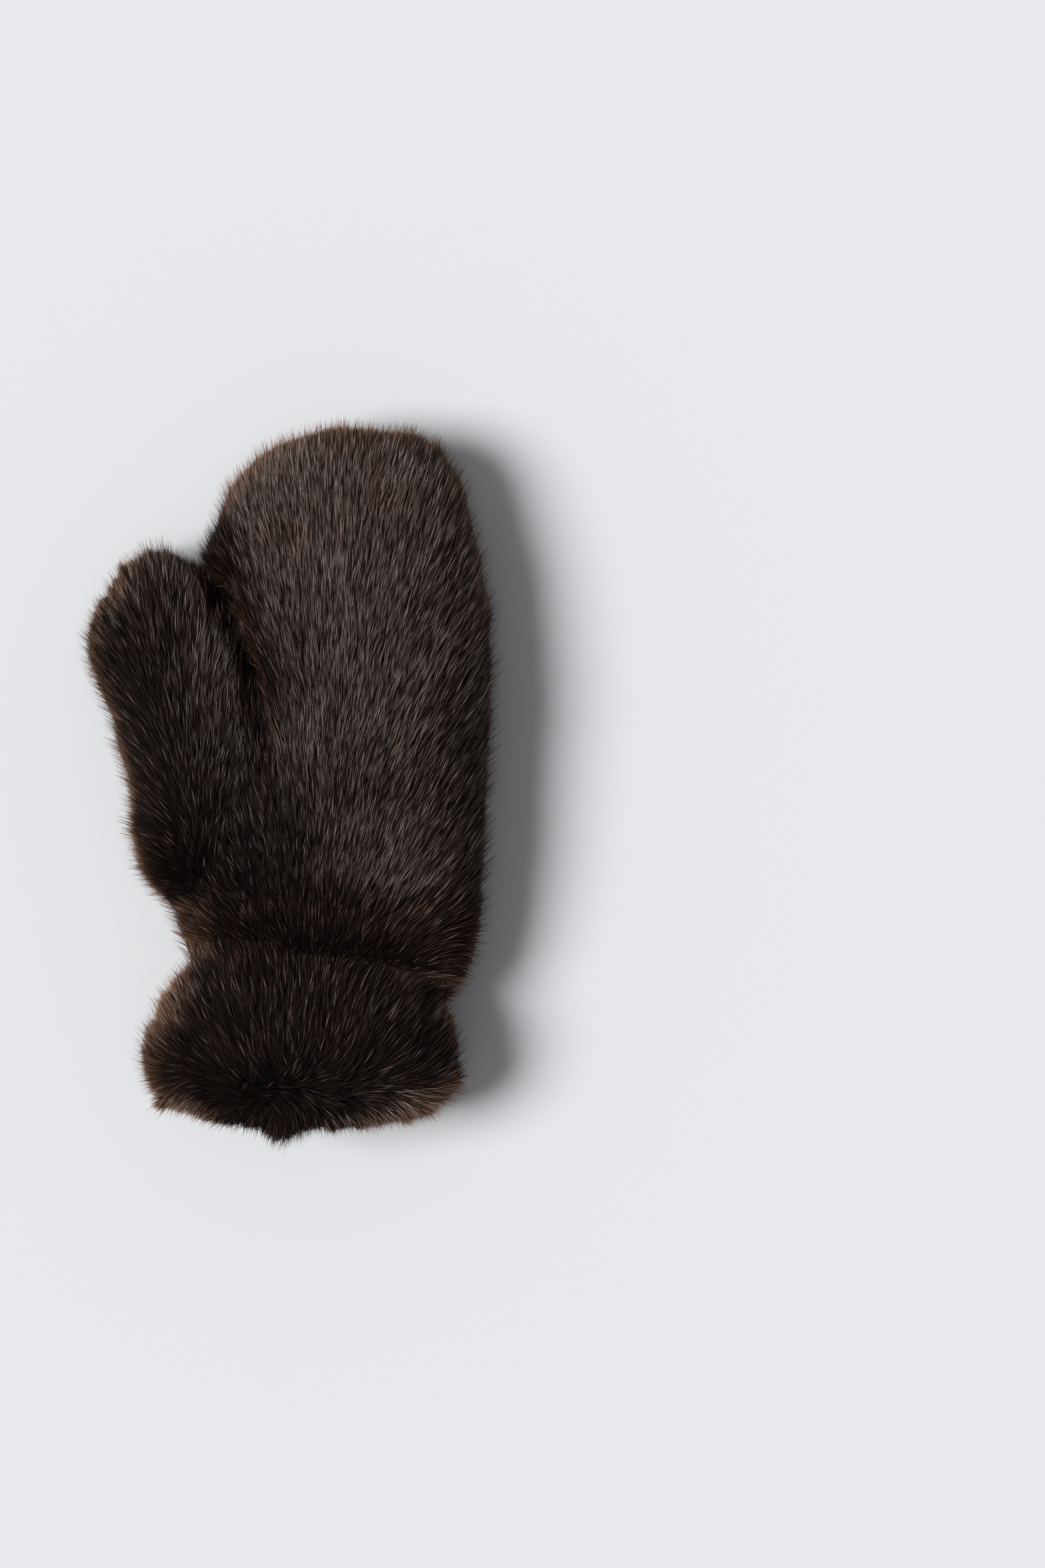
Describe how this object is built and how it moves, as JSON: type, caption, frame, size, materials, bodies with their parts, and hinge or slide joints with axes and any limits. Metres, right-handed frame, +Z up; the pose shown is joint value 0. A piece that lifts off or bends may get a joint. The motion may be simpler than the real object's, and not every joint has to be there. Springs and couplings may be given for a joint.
{
  "type": "fur mitten",
  "caption": "Left-hand fur mitten lying palm up, with a free thumb, a gathered wrist and a short flared fur cuff, hollow for a hand and open at the cuff.",
  "frame": {"origin": "bottom centre of the mitten's box, on the surface that it lies on", "axes": "+Y from the cuff towards the fingertips, +Z up out of the palm, so the thumb is on the -X side"},
  "size_m": [0.1512, 0.253, 0.0547],
  "materials": {
    "palm_fur": "deep sheared fur, grey-brown with dark roots and browner edges",
    "back_fur": "deep sheared fur, grey-brown with dark roots",
    "thumb_fur": "deep sheared fur, warmer brown at the edges",
    "cuff_fur": "deep sheared fur, darker in the folds and lighter at the hem"
  },
  "bodies": {
    "root": {"palm_panel": "palm_fur", "back_panel": "back_fur", "thumb": "thumb_fur", "cuff": "cuff_fur"}
  },
  "joints": []
}
